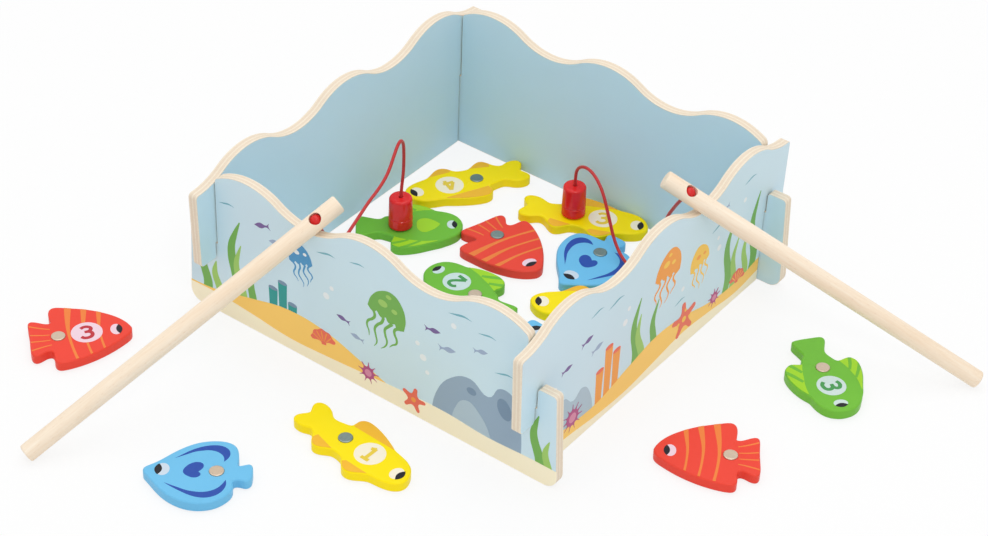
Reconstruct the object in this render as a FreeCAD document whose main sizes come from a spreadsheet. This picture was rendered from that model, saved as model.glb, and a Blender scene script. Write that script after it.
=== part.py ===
import FreeCAD, Part

import math
import os

import Sketcher

doc = FreeCAD.newDocument("magnetic_fishing_game")

# Driving sizes: millimetres, and degrees for the headings
SIZES = {
    # The pond: four slotted walls of plywood
    "pond_x": -43.7,
    "pond_y": 73.8,
    "wall_thickness": 6.0,
    "wall_spacing": 224.0,
    "ear_reach": 16.0,
    "wave_level": 95.0,
    "wave_rise": 6.0,
    "wave_count": 3.0,
    "slot_clearance": 0.15,
    "slot_end": 49.5,
    "low_ear_top": 63.0,
    "low_ear_foot": 3.0,
    "high_ear_bottom": 39.0,
    "high_ear_tip": 1.5,
    "foot_round": 8.0,
    "ear_round": 2.5,
    "mouth_round": 4.0,
    # The fish: outlines, steel discs and edges
    "fish_thickness": 6.5,
    "fish_edge": 0.7,
    "red_length": 57.8,
    "red_width": 51.0,
    "red_disc_at": -13.4,
    "blue_length": 59.6,
    "blue_width": 49.0,
    "blue_disc_at": -9.5,
    "green_length": 63.4,
    "green_width": 44.4,
    "green_disc_at": -5.2,
    "yellow_length": 80.0,
    "yellow_width": 38.0,
    "yellow_disc_at": -7.8,
    "disc_diameter": 8.2,
    "disc_clearance": 0.05,
    "disc_proud": 0.6,
    "disc_inset": 0.2,
    "disc_edge": 0.3,
    # The rods
    "rod_diameter": 10.5,
    "rod_length": 213.6,
    "rod_end_round": 1.2,
    "rod_lift": 0.3,
    "hole_from_tip": 15.6,
    "knot_hole": 7.0,
    "knot_seat": 1.2,
    "cord_hole": 3.2,
    "knot_diameter": 6.8,
    "knot_flat": 2.6,
    "front_heel_x": -101.4,
    "front_heel_y": -272.2,
    "front_heading": 67.95,
    "front_roll": 24.7,
    "right_heel_x": 262.2,
    "right_heel_y": 103.7,
    "right_heading": 204.4,
    "right_roll": -22.2,
    # The bobs that hold the magnets
    "bob_diameter": 14.7,
    "bob_top_diameter": 14.0,
    "bob_height": 20.6,
    "bob_shoulder": 1.8,
    "bob_groove": 0.4,
    "base_height": 6.8,
    "base_edge": 0.5,
    "magnet_diameter": 9.0,
    "magnet_height": 2.9,
    "bob_fit": 0.1,
    "spigot_diameter": 10.4,
    "spigot_length": 2.0,
    "chamber_diameter": 7.0,
    "chamber_top": 14.0,
    "bob_bore": 2.6,
    "bob_knot_diameter": 5.6,
    "bob_knot_flat": 2.2,
    "cord_rise": 3.5,
    # The cords
    "cord_diameter": 2.0,
}

sheet = doc.addObject("Spreadsheet::Sheet", "Sizes")
for row, (name, number) in enumerate(SIZES.items(), start=1):
    sheet.set(f"A{row}", name)
    sheet.set(f"B{row}", str(number))
    sheet.setAlias(f"B{row}", name)
doc.recompute()


class Size:
    """A number together with the expression that works it out from the sheet."""

    def __init__(self, value, text):
        self.value = value
        self.text = text

    def __add__(self, other):
        other = size(other)
        return Size(self.value + other.value, f"({self.text} + {other.text})")

    def __sub__(self, other):
        other = size(other)
        return Size(self.value - other.value, f"({self.text} - {other.text})")

    def __mul__(self, other):
        other = size(other)
        return Size(self.value * other.value, f"({self.text} * {other.text})")

    def __truediv__(self, other):
        other = size(other)
        return Size(self.value / other.value, f"({self.text} / {other.text})")

    def __neg__(self):
        return Size(-self.value, f"(0 - {self.text})")

    def root(self):
        return Size(math.sqrt(self.value), f"sqrt({self.text})")


def size(item):
    """A Size from an alias of the sheet, a plain number or another Size."""
    if isinstance(item, Size):
        return item
    if isinstance(item, str):
        return Size(float(getattr(sheet, item)), f"Sizes.{item}")
    return Size(float(item), repr(float(item)))


def number(alias):
    return float(getattr(sheet, alias))


# Sketches and features
def new_body(name):
    body = doc.addObject("PartDesign::Body", name)
    body.Label = name
    return body


def new_sketch(body, name, role):
    sketch = body.newObject("Sketcher::SketchObject", name)
    plane = next(item for item in body.Origin.OriginFeatures if item.Role == role)
    sketch.AttachmentSupport = [(plane, "")]
    sketch.MapMode = "FlatFace"
    return sketch


def arc_between(start, end, radius, turn):
    """The circle arc from start to end, with its ends in the order in which it is drawn."""
    chord = end - start
    normal = FreeCAD.Vector(-chord.y, chord.x, 0) * (turn / chord.Length)
    rise = math.sqrt(max(radius ** 2 - (chord.Length / 2) ** 2, 0))
    centre = (start + end) * 0.5 + normal * rise
    first, last = (start, end) if turn > 0 else (end, start)
    angles = [math.atan2(point.y - centre.y, point.x - centre.x) for point in (first, last)]
    circle = Part.Circle(centre, FreeCAD.Vector(0, 0, 1), radius)
    return Part.ArcOfCircle(circle, angles[0], angles[1])


def draw_profile(sketch, path):
    """A closed outline. Each step is (x, y) for a line to there, or (x, y, radius, turn) for an
    arc to there, with turn 1 to the left and -1 to the right."""
    steps = [[size(value) for value in step[:3]] + list(step[3:]) for step in path]
    corners = [FreeCAD.Vector(step[0].value, step[1].value, 0) for step in steps]
    ends = []
    for index, step in enumerate(steps):
        start = corners[index - 1]
        if len(step) == 2:
            sketch.addGeometry(Part.LineSegment(start, corners[index]), False)
            ends.append((1, 2))
        else:
            sketch.addGeometry(arc_between(start, corners[index], step[2].value, step[3]), False)
            ends.append((1, 2) if step[3] > 0 else (2, 1))
    for index, step in enumerate(steps):
        following = (index + 1) % len(steps)
        joint = (index, ends[index][1], following, ends[following][0])
        sketch.addConstraint(Sketcher.Constraint("Coincident", *joint))
        for kind, place in (("DistanceX", step[0]), ("DistanceY", step[1])):
            bind(sketch, Sketcher.Constraint(kind, -1, 1, index, ends[index][1], place.value), place)
        if len(step) > 2:
            bind(sketch, Sketcher.Constraint("Radius", index, step[2].value), step[2])


def draw_circle(sketch, x, y, diameter):
    x, y, diameter = size(x), size(y), size(diameter)
    centre = FreeCAD.Vector(x.value, y.value, 0)
    sketch.addGeometry(Part.Circle(centre, FreeCAD.Vector(0, 0, 1), diameter.value / 2), False)
    bind(sketch, Sketcher.Constraint("DistanceX", -1, 1, 0, 3, x.value), x)
    bind(sketch, Sketcher.Constraint("DistanceY", -1, 1, 0, 3, y.value), y)
    bind(sketch, Sketcher.Constraint("Diameter", 0, diameter.value), diameter)


def bind(sketch, constraint, place):
    index = sketch.addConstraint(constraint)
    sketch.setExpression(f"Constraints[{index}]", place.text)


def pad(body, name, sketch, length, symmetric=False):
    feature = body.newObject("PartDesign::Pad", name)
    feature.Profile = sketch
    feature.SideType = "Symmetric" if symmetric else "One side"
    feature.setExpression("Length", size(length).text)
    return feature


def through_pocket(body, name, sketch):
    feature = body.newObject("PartDesign::Pocket", name)
    feature.Profile = sketch
    feature.Type = "ThroughAll"
    feature.SideType = "Symmetric"
    return feature


def revolve(body, name, sketch, axis):
    feature = body.newObject("PartDesign::Revolution", name)
    feature.Profile = sketch
    feature.ReferenceAxis = (sketch, [axis])
    feature.Angle = 360.0
    return feature


def dress(body, kind, name, base, wanted, amount):
    """A Fillet or Chamfer of the base's edges that the test named wanted accepts."""
    doc.recompute()
    edges = [f"Edge{index}" for index, edge in enumerate(base.Shape.Edges, start=1) if wanted(edge)]
    feature = body.newObject(f"PartDesign::{kind}", name)
    feature.Base = (base, edges)
    feature.setExpression("Radius" if kind == "Fillet" else "Size", size(amount).text)
    return feature


def edge_through(corners):
    """A test for the straight edges along the wall's thickness at these corners of its face."""
    def wanted(edge):
        middle = edge.CenterOfMass
        flat = abs(edge.Vertexes[0].Point.y - edge.Vertexes[-1].Point.y) > number("wall_thickness") / 2
        near = [math.hypot(middle.x - x.value, middle.z - z.value) < 0.01 for x, z in corners]
        return flat and any(near)
    return wanted


# The walls
half_thickness = size("wall_thickness") / 2
slot_inner = size("wall_spacing") / 2 - half_thickness - "slot_clearance"
slot_outer = size("wall_spacing") / 2 + half_thickness + "slot_clearance"
half_span = size("wall_spacing") / 2 + "ear_reach"
wave_pitch = half_span * 2 / "wave_count"
wave_radius = (wave_pitch * wave_pitch / 16 + size("wave_rise") * "wave_rise") / (size("wave_rise") * 2)
wave_low = size("wave_level") - "wave_rise"
beyond = half_span + "ear_reach"


def wave_steps():
    """The wavy top, from the right end to the left: arcs that meet at the middle level."""
    bends = int(number("wave_count")) * 2
    steps = []
    for index in range(bends):
        level_x = half_span - wave_pitch * (0.5 * index + 0.25)
        turn = -1 if index % 2 == 0 else 1
        steps.append((level_x, "wave_level", wave_radius, turn))
    steps.append((-half_span, wave_low, wave_radius, -1))
    return steps


def cut_both_ends(body, name, path):
    """Cuts the same outline through the plate at its right end and, mirrored, at its left end."""
    for side, flip in (("right", 1), ("left", -1)):
        sketch = new_sketch(body, f"{name}_{side}_slot_outline", "XZ_Plane")
        draw_profile(sketch, [(size(x) * flip, z) for x, z in path])
        through_pocket(body, f"{name}_{side}_slot", sketch)


def low_eared_wall(name):
    """A wall whose slots open upwards, with an ear outside each slot from the table to mid height."""
    body = new_body(name)
    sketch = new_sketch(body, f"{name}_outline", "XZ_Plane")
    foot = half_span + "low_ear_foot"
    path = [(foot, 0), (half_span, "low_ear_top"), (half_span, wave_low)]
    path += wave_steps()
    path += [(-half_span, "low_ear_top"), (-foot, 0)]
    draw_profile(sketch, path)
    pad(body, f"{name}_plate", sketch, "wall_thickness", symmetric=True)
    above = size("wave_level") + size("wave_rise") * 2
    slot = [(slot_inner, above), (slot_inner, "slot_end"), (slot_outer, "slot_end")]
    slot += [(slot_outer, "low_ear_top"), (beyond, "low_ear_top"), (beyond, above)]
    cut_both_ends(body, name, slot)
    zero = size(0)
    feet = edge_through([(foot, zero), (-foot, zero)])
    rounded = dress(body, "Fillet", f"{name}_foot", body.Tip, feet, "foot_round")
    ears = [(half_span, size("low_ear_top")), (slot_outer, size("low_ear_top"))]
    ears += [(-x, z) for x, z in ears]
    eared = dress(body, "Fillet", f"{name}_ear", rounded, edge_through(ears), "ear_round")

    def on_slot_mouth(edge):
        box = edge.BoundBox
        inner_side = abs(abs(box.XMax) - slot_inner.value) < 0.01 and box.XLength < 0.01
        return inner_side and box.ZLength < 0.01 and box.ZMin > number("slot_end") + 1

    dress(body, "Fillet", f"{name}_mouth", eared, on_slot_mouth, "mouth_round")
    return body


def high_eared_wall(name):
    """A wall whose slots open downwards, with an ear outside each slot from mid height to the top."""
    body = new_body(name)
    sketch = new_sketch(body, f"{name}_outline", "XZ_Plane")
    tip = half_span + "high_ear_tip"
    path = [(half_span, 0), (half_span, "high_ear_bottom"), (tip, wave_low), (half_span, wave_low)]
    path += wave_steps()
    path += [(-tip, wave_low), (-half_span, "high_ear_bottom"), (-half_span, 0)]
    draw_profile(sketch, path)
    pad(body, f"{name}_plate", sketch, "wall_thickness", symmetric=True)
    slot_top = size("slot_end") + "slot_clearance"
    below = -size("wave_rise")
    slot = [(slot_inner, below), (slot_inner, slot_top), (slot_outer, slot_top)]
    slot += [(slot_outer, "high_ear_bottom"), (beyond, "high_ear_bottom"), (beyond, below)]
    cut_both_ends(body, name, slot)
    ears = [(tip, wave_low), (half_span, size("high_ear_bottom"))]
    ears += [(slot_outer, size("high_ear_bottom"))]
    ears += [(-x, z) for x, z in ears]
    dress(body, "Fillet", f"{name}_ear", body.Tip, edge_through(ears), "ear_round")
    return body


def pond_point(x, y, z=0.0):
    """A place given from the middle of the pond, in the object's own frame."""
    return FreeCAD.Vector(number("pond_x") + x, number("pond_y") + y, z)


def drawn_point(x, y, z=0.0):
    """A place drawn for a pond of DRAWN_SPACING, which spreads with the pond's own size."""
    share = number("wall_spacing") / DRAWN_SPACING
    return pond_point(x * share, y * share, z * share)


def turned(heading):
    return FreeCAD.Rotation(FreeCAD.Vector(0, 0, 1), heading)


DRAWN_SPACING = 224.0
half_pond = number("wall_spacing") / 2
nodes = []
for name, x, y, heading in (
    ("front_wall", 0, -half_pond, 0),
    ("back_wall", 0, half_pond, 0),
    ("right_wall", half_pond, 0, 90),
    ("left_wall", -half_pond, 0, 90),
):
    wall = low_eared_wall(name) if heading == 0 else high_eared_wall(name)
    wall.Placement = FreeCAD.Placement(pond_point(x, y), turned(heading))
    nodes.append(wall)

# The fish. Each outline is drawn by the poles of a closed curve, as shares of the fish's half
# length and half width, with the nose along +X
OUTLINES = {}
OUTLINES["red"] = [
    (0.971, 0.029), (0.924, 0.156), (0.853, 0.29), (0.706, 0.478), (0.512, 0.637), (0.274, 0.794),
    (0.037, 0.901), (-0.216, 0.981), (-0.414, 1.061), (-0.553, 1.037), (-0.601, 0.854),
    (-0.579, 0.601), (-0.562, 0.497), (-0.678, 0.498), (-0.841, 0.623), (-0.997, 0.663),
    (-1.023, 0.505), (-1.006, 0.196), (-1.024, -0.197), (-1.034, -0.479), (-0.969, -0.595),
    (-0.846, -0.569), (-0.718, -0.453), (-0.622, -0.449), (-0.585, -0.567), (-0.613, -0.792),
    (-0.557, -0.924), (-0.426, -0.933), (-0.221, -0.893), (0.032, -0.81), (0.27, -0.696),
    (0.508, -0.548), (0.709, -0.388), (0.873, -0.24), (0.954, -0.14), (0.973, -0.017),
]
OUTLINES["blue"] = [
    (0.99, -0.008), (0.978, 0.081), (0.851, 0.174), (0.706, 0.312), (0.538, 0.535),
    (0.339, 0.742), (0.108, 0.919), (-0.171, 0.998), (-0.427, 0.989), (-0.594, 0.869),
    (-0.655, 0.688), (-0.683, 0.433), (-0.676, 0.242), (-0.705, 0.209), (-0.81, 0.263),
    (-0.899, 0.3), (-0.949, 0.214), (-0.961, 0.055), (-0.959, -0.07), (-0.953, -0.208),
    (-0.868, -0.286), (-0.791, -0.256), (-0.684, -0.223), (-0.621, -0.282), (-0.653, -0.435),
    (-0.633, -0.606), (-0.525, -0.784), (-0.365, -0.95), (-0.121, -1.032), (0.143, -1.012),
    (0.408, -0.861), (0.625, -0.643), (0.794, -0.378), (0.912, -0.183), (0.994, -0.064),
    (0.988, -0.009),
]
OUTLINES["green"] = [
    (1.024, 0.06), (0.994, 0.282), (0.902, 0.481), (0.754, 0.617), (0.666, 0.665), (0.597, 0.732),
    (0.393, 0.812), (0.168, 0.931), (-0.022, 0.984), (-0.163, 0.993), (-0.276, 0.981),
    (-0.403, 0.836), (-0.362, 0.626), (-0.296, 0.453), (-0.445, 0.346), (-0.58, 0.228),
    (-0.756, 0.319), (-0.956, 0.441), (-1.033, 0.327), (-1.017, 0.113), (-1.013, -0.138),
    (-0.992, -0.403), (-0.944, -0.534), (-0.71, -0.395), (-0.527, -0.307), (-0.462, -0.478),
    (-0.322, -0.455), (-0.322, -0.568), (-0.369, -0.799), (-0.27, -0.932), (-0.189, -1.01),
    (-0.044, -1.022), (0.13, -0.977), (0.327, -0.867), (0.478, -0.727), (0.541, -0.635),
    (0.674, -0.606), (0.868, -0.485), (0.986, -0.279), (1.024, -0.049),
]
OUTLINES["yellow"] = [
    (0.975, -0.136), (0.927, 0.093), (0.858, 0.318), (0.672, 0.484), (0.48, 0.529),
    (0.404, 0.626), (0.217, 0.803), (-0.02, 0.963), (-0.216, 1.001), (-0.309, 0.777),
    (-0.283, 0.513), (-0.401, 0.476), (-0.599, 0.374), (-0.696, 0.658), (-0.915, 0.776),
    (-1.028, 0.541), (-0.93, 0.241), (-0.915, 0.135), (-1.044, -0.128), (-1.01, -0.407),
    (-0.808, -0.451), (-0.698, -0.276), (-0.588, -0.451), (-0.486, -0.856), (-0.331, -0.799),
    (-0.205, -0.576), (-0.079, -0.617), (0.029, -0.663), (0.116, -0.983), (0.262, -1.052),
    (0.397, -0.864), (0.498, -0.694), (0.686, -0.689), (0.866, -0.584), (0.968, -0.372),
]

# Each fish: name, colour, drawn place from the middle of the pond, heading of its nose, side up
FISH = [
    ("red_fish_3", "red", -149.6, -184.8, 51.2, "number"),
    ("blue_fish_a", "blue", -21.3, -227.5, 215.7, "pattern"),
    ("yellow_fish_1", "yellow", 29.9, -159.0, 357.8, "number"),
    ("red_fish_a", "red", 179.7, -45.7, 212.0, "pattern"),
    ("green_fish_3", "green", 195.6, 52.8, 318.7, "number"),
    ("yellow_fish_4", "yellow", -73.0, 69.6, 245.3, "number"),
    ("green_fish_a", "green", -71.6, 12.4, 42.1, "pattern"),
    ("red_fish_b", "red", -12.0, 34.4, 342.5, "pattern"),
    ("green_fish_2", "green", -5.1, -14.8, 169.9, "number"),
    ("yellow_fish_3", "yellow", 4.8, 88.5, 26.4, "number"),
    ("blue_fish_b", "blue", 32.8, 54.2, 268.6, "pattern"),
    ("yellow_fish_a", "yellow", 61.2, 20.8, 217.1, "number"),
    ("blue_fish_c", "blue", 62.0, -32.0, 140.0, "pattern"),
]
BOB_FISH = {"front": "green_fish_a", "right": "yellow_fish_3"}


def make_fish(name, colour, side):
    """A flat wooden fish with bevelled edges and a bore for its steel disc."""
    body = new_body(name)
    half_length = number(f"{colour}_length") / 2
    half_width = number(f"{colour}_width") / 2
    flip = -1 if side == "pattern" else 1
    poles = [FreeCAD.Vector(x * half_length, y * half_width * flip, 0) for x, y in OUTLINES[colour]]
    curve = Part.BSplineCurve()
    curve.buildFromPoles(poles, True, 3)
    outline = new_sketch(body, f"{name}_outline", "XY_Plane")
    outline.addGeometry(curve, False)
    blank = pad(body, f"{name}_blank", outline, "fish_thickness")
    rims = dress(body, "Chamfer", f"{name}_rims", blank, lambda edge: edge.isClosed(), "fish_edge")
    bore = new_sketch(body, f"{name}_bore", "XY_Plane")
    draw_circle(bore, f"{colour}_disc_at", 0, size("disc_diameter") + size("disc_clearance") * 2)
    through_pocket(body, f"{name}_seat", bore)
    return body


def make_disc(name, colour):
    """The steel disc: a slug through the wood that stands a little proud of the upper side."""
    body = new_body(name)
    sketch = new_sketch(body, f"{name}_circle", "XY_Plane")
    draw_circle(sketch, f"{colour}_disc_at", 0, "disc_diameter")
    slug = pad(body, f"{name}_slug", sketch, size("fish_thickness") + "disc_proud" - "disc_inset")
    dress(body, "Chamfer", f"{name}_rim", slug, lambda edge: edge.isClosed(), "disc_edge")
    return body


disc_centres = {}
for name, colour, x, y, heading, side in FISH:
    fish = make_fish(name, colour, side)
    disc = make_disc(f"{name}_disc", colour)
    fish.Placement = FreeCAD.Placement(drawn_point(x, y), turned(heading))
    disc_foot = drawn_point(x, y) + FreeCAD.Vector(0, 0, number("disc_inset"))
    disc.Placement = FreeCAD.Placement(disc_foot, turned(heading))
    disc_top = number("fish_thickness") + number("disc_proud")
    disc_centres[name] = fish.Placement.multVec(FreeCAD.Vector(number(f"{colour}_disc_at"), 0, disc_top))
    nodes += [fish, disc]


# The rods
def make_rod(name):
    """A round dowel along +X with rounded ends, a cord hole near its tip and a seat for the knot."""
    body = new_body(name)
    radius = size("rod_diameter") / 2
    edge = size("rod_end_round")
    length = size("rod_length")
    section = new_sketch(body, f"{name}_section", "XZ_Plane")
    path = [(length, 0), (length, radius - edge), (length - edge, radius, edge, 1)]
    path += [(edge, radius), (0, radius - edge, edge, 1), (0, 0)]
    draw_profile(section, path)
    revolve(body, f"{name}_dowel", section, "H_Axis")
    cord_hole = new_sketch(body, f"{name}_cord_circle", "XY_Plane")
    draw_circle(cord_hole, length - "hole_from_tip", 0, "cord_hole")
    through_pocket(body, f"{name}_cord_hole", cord_hole)
    seat = new_sketch(body, f"{name}_knot_circle", "XY_Plane")
    draw_circle(seat, length - "hole_from_tip", 0, "knot_hole")
    seat.setExpression("AttachmentOffset.Base.z", (-size("knot_seat")).text)
    feature = body.newObject("PartDesign::Pocket", f"{name}_knot_hole")
    feature.Profile = seat
    feature.Type = "ThroughAll"
    feature.Reversed = True
    return body


def make_knot(name, diameter, flat, upper):
    """A round knot, cut flat on the side where the cord leaves it, with that flat at its origin."""
    body = new_body(name)
    radius = size(diameter) / 2
    flat = size(flat)
    rim = (radius * radius - flat * flat).root()
    section = new_sketch(body, f"{name}_section", "XZ_Plane")
    if upper:
        path = [(0, 0), (0, -flat - radius), (rim, 0, radius, 1)]
    else:
        path = [(0, 0), (rim, 0), (0, flat + radius, radius, 1)]
    draw_profile(section, path)
    revolve(body, f"{name}_ball", section, "V_Axis")
    return body


def rod_placement(heel_x, heel_y, heading, roll, wall_axis):
    """A rod whose lower end stands on the table at its heel and leans on a wall's outer edge. It is
    rolled about its own axis, so that its cord hole tilts out of the vertical plane."""
    along = FreeCAD.Vector(math.cos(math.radians(heading)), math.sin(math.radians(heading)), 0)
    outer_face = half_pond + number("wall_thickness") / 2
    if wall_axis == "y":
        reach = (-outer_face - heel_y) / along.y
        place = heel_x + reach * along.x
    else:
        reach = (outer_face - heel_x) / along.x
        place = heel_y + reach * along.y
    wave = math.cos(2 * math.pi * place / wave_pitch.value)
    edge = number("wave_level") + number("wave_rise") * wave + number("rod_lift")
    pitch = math.degrees(math.atan2(edge, reach))
    upright = FreeCAD.Rotation(heading, -pitch, 0)
    lifted = upright.multVec(FreeCAD.Vector(0, 0, number("rod_diameter") / 2))
    axis_start = pond_point(heel_x, heel_y) + lifted
    return FreeCAD.Placement(axis_start, FreeCAD.Rotation(heading, -pitch, roll))


# The bobs
def make_bob_barrel(name):
    """The barrel: a bore for the cord, a chamber for its knot and a spigot that enters the base."""
    body = new_body(name)
    bore = size("bob_bore") / 2
    chamber = size("chamber_diameter") / 2
    spigot = size("spigot_diameter") / 2
    outer = size("bob_diameter") / 2
    base = size("base_height")
    groove = size("bob_groove")
    spigot_end = base - "spigot_length"
    section = new_sketch(body, f"{name}_section", "XZ_Plane")
    path = [(bore, "bob_height"), (bore, "chamber_top"), (chamber, "chamber_top")]
    path += [(chamber, spigot_end), (spigot, spigot_end), (spigot, base)]
    path += [(outer - groove, base), (outer, base + groove)]
    path += [(size("bob_top_diameter") / 2, "bob_height")]
    draw_profile(section, path)
    turning = revolve(body, f"{name}_turning", section, "V_Axis")
    top = number("bob_height")
    outermost = number("bob_top_diameter") / 2

    def on_shoulder(edge):
        box = edge.BoundBox
        return box.ZLength < 0.01 and abs(box.ZMax - top) < 0.01 and box.XMax > outermost - 0.01

    dress(body, "Fillet", f"{name}_shoulder", turning, on_shoulder, "bob_shoulder")
    return body


def make_bob_base(name):
    """The cap under the barrel: a socket for the spigot above and a seat for the magnet below."""
    body = new_body(name)
    fit = size("bob_fit")
    outer = size("bob_diameter") / 2
    magnet = size("magnet_diameter") / 2 + fit
    roof = size("magnet_height") + fit
    socket = size("spigot_diameter") / 2 + fit
    base = size("base_height")
    floor = base - "spigot_length" - fit
    section = new_sketch(body, f"{name}_section", "XZ_Plane")
    path = [(magnet, 0), (outer - "base_edge", 0), (outer, "base_edge"), (outer, base - "bob_groove")]
    path += [(outer - "bob_groove", base), (socket, base), (socket, floor), (0, floor), (0, roof)]
    path += [(magnet, roof)]
    draw_profile(section, path)
    revolve(body, f"{name}_turning", section, "V_Axis")
    return body


def make_magnet(name):
    magnet = doc.addObject("Part::Cylinder", name)
    magnet.Label = name
    magnet.setExpression("Radius", "Sizes.magnet_diameter / 2")
    magnet.setExpression("Height", "Sizes.magnet_height")
    return magnet


# The cords
def route_corners(points):
    """For each inner point of a route: where its arc starts and ends, its middle and its radius."""
    corners = []
    for before, point, after in zip(points, points[1:], points[2:]):
        first, last = before - point, after - point
        turn = math.pi - first.getAngle(last)
        room = 0.45 * min(first.Length, last.Length)
        radius = room / math.tan(turn / 2)
        towards = (first.normalize() + last.normalize()).normalize()
        middle = point + towards * (radius / math.cos(turn / 2) - radius)
        corners.append((point + first * room, middle, point + last * room, radius))
    return corners


def make_cord(name, points):
    """A tube along straight runs joined by tangent arcs."""
    corners = route_corners(points)
    edges = []
    here = points[0]
    for start, middle, end, radius in corners:
        edges.append(Part.LineSegment(here, start).toShape())
        edges.append(Part.Arc(start, middle, end).toShape())
        here = end
    edges.append(Part.LineSegment(here, points[-1]).toShape())
    path = Part.Wire(edges)
    section = Part.Wire(Part.makeCircle(number("cord_diameter") / 2, points[0], points[1] - points[0]))
    tube = path.makePipeShell([section], True, False)
    cord = doc.addObject("Part::Feature", name)
    cord.Label = name
    cord.Shape = tube
    cord.Placement = FreeCAD.Placement()
    area = math.pi * number("cord_diameter") ** 2 / 4
    radii = ", ".join(f"{corner[3]:.1f}" for corner in corners)
    print(f"{name}: length {path.Length:.1f}, volume over section times length", end=" ")
    print(f"{tube.Volume / (area * path.Length):.4f}, radii {radii}")
    return cord


# The free points of each cord, as drawn places on their way from bob to rod
FRONT_CORD = [
    (-76.0, 12.0, 44.0), (-76.1, 12.3, 57.0), (-75.7, 11.2, 65.6), (-74.1, 6.2, 71.0),
    (-71.8, -1.0, 68.0), (-68.6, -11.2, 59.6), (-64.2, -25.0, 57.8), (-59.6, -39.6, 61.4),
    (-54.8, -54.8, 62.4), (-50.0, -70.2, 58.2), (-46.2, -82.4, 57.6), (-42.6, -93.0, 64.0),
    (-40.6, -99.6, 76.0),
]
RIGHT_CORD = [
    (-2.0, 85.2, 40.0), (5.5, 82.0, 47.0), (15.5, 77.6, 48.6), (25.8, 72.8, 43.2),
    (33.6, 69.2, 30.0), (41.0, 65.9, 17.0), (50.5, 61.6, 10.8), (63.5, 56.2, 10.8),
    (75.5, 50.2, 22.0), (83.0, 46.0, 42.0), (86.3, 44.2, 60.0), (89.5, 42.4, 72.0),
    (94.6, 39.6, 81.4),
]

RIGS = [
    ("front", "y", FRONT_CORD),
    ("right", "x", RIGHT_CORD),
]
for rig, wall_axis, free_points in RIGS:
    rod = make_rod(f"{rig}_rod")
    heel_x, heel_y, heading, roll = (
        number(f"{rig}_{part}") for part in ("heel_x", "heel_y", "heading", "roll")
    )
    rod.Placement = rod_placement(heel_x, heel_y, heading, roll, wall_axis)
    tip_hole = FreeCAD.Vector(number("rod_length") - number("hole_from_tip"), 0, -number("knot_seat"))
    knot_seat = rod.Placement.multVec(tip_hole)
    under_rod = rod.Placement.multVec(tip_hole - FreeCAD.Vector(0, 0, number("rod_diameter")))
    rod_knot = make_knot(f"{rig}_rod_knot", "knot_diameter", "knot_flat", upper=False)
    rod_knot.Placement = FreeCAD.Placement(knot_seat, rod.Placement.Rotation)
    bob_foot = disc_centres[BOB_FISH[rig]]
    upright = FreeCAD.Placement(bob_foot, FreeCAD.Rotation())
    barrel = make_bob_barrel(f"{rig}_bob_barrel")
    base = make_bob_base(f"{rig}_bob_base")
    magnet = make_magnet(f"{rig}_bob_magnet")
    for piece in (barrel, base, magnet):
        piece.Placement = upright
    chamber_roof = bob_foot + FreeCAD.Vector(0, 0, number("chamber_top"))
    bob_knot = make_knot(f"{rig}_bob_knot", "bob_knot_diameter", "bob_knot_flat", upper=True)
    bob_knot.Placement = FreeCAD.Placement(chamber_roof, FreeCAD.Rotation())
    rise = number("bob_height") - number("chamber_top") + number("cord_rise")
    above_bob = chamber_roof + FreeCAD.Vector(0, 0, rise)
    free_route = [drawn_point(*point) for point in free_points]
    route = [chamber_roof, above_bob] + free_route + [under_rod, knot_seat]
    cord = make_cord(f"{rig}_cord", route)
    nodes += [rod, rod_knot, barrel, base, magnet, bob_knot, cord]

# Check every object, then write each piece
doc.recompute()
for item in doc.Objects:
    if "Invalid" in item.State or "Error" in item.State:
        raise RuntimeError(f"{item.Label} did not build: {item.State}")
for node in nodes:
    shape = node.Shape
    if shape.isNull() or not shape.isValid() or len(shape.Solids) != 1:
        raise RuntimeError(f"{node.Label} is not one valid solid")

os.makedirs("parts", exist_ok=True)
for node in nodes:
    node.Shape.exportStep(f"parts/{node.Label}.step")
print(f"{len(nodes)} pieces written")
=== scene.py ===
import bpy
import math
from mathutils import Matrix, Vector


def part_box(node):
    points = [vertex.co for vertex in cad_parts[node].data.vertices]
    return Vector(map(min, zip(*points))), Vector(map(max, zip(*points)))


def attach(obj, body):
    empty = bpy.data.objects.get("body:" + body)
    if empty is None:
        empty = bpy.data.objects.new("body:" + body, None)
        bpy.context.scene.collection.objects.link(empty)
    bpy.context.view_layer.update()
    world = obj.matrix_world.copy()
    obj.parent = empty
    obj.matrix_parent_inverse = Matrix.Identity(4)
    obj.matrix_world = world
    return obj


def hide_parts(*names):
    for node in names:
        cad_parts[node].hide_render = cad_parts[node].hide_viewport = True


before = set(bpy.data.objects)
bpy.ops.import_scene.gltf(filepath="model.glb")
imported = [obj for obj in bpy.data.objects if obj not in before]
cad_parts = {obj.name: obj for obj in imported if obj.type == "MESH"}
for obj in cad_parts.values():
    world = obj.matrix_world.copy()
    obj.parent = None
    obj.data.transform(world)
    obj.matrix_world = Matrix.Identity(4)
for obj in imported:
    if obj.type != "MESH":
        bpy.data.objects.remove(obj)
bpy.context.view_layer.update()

# Sizes in metres. Half the pond reaches from its middle to the outer sides of its walls
MM = 0.001
front_low, front_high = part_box("front_wall")
left_low, left_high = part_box("left_wall")
POND = Vector(((front_low.x + front_high.x) / 2, (left_low.y + left_high.y) / 2, 0))
HALF_POND = (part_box("right_wall")[1].x - left_low.x) / 2
WALL_THICKNESS = 6.0 * MM
FISH_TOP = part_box("red_fish_3")[1].z


def in_pond(x, y, z=0.0):
    """A place given in millimetres from the middle of the pond."""
    return POND + Vector((x, y, z)) * MM


def add_object(name, data):
    made = bpy.data.objects.new(name, data)
    bpy.context.scene.collection.objects.link(made)
    return made


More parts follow.
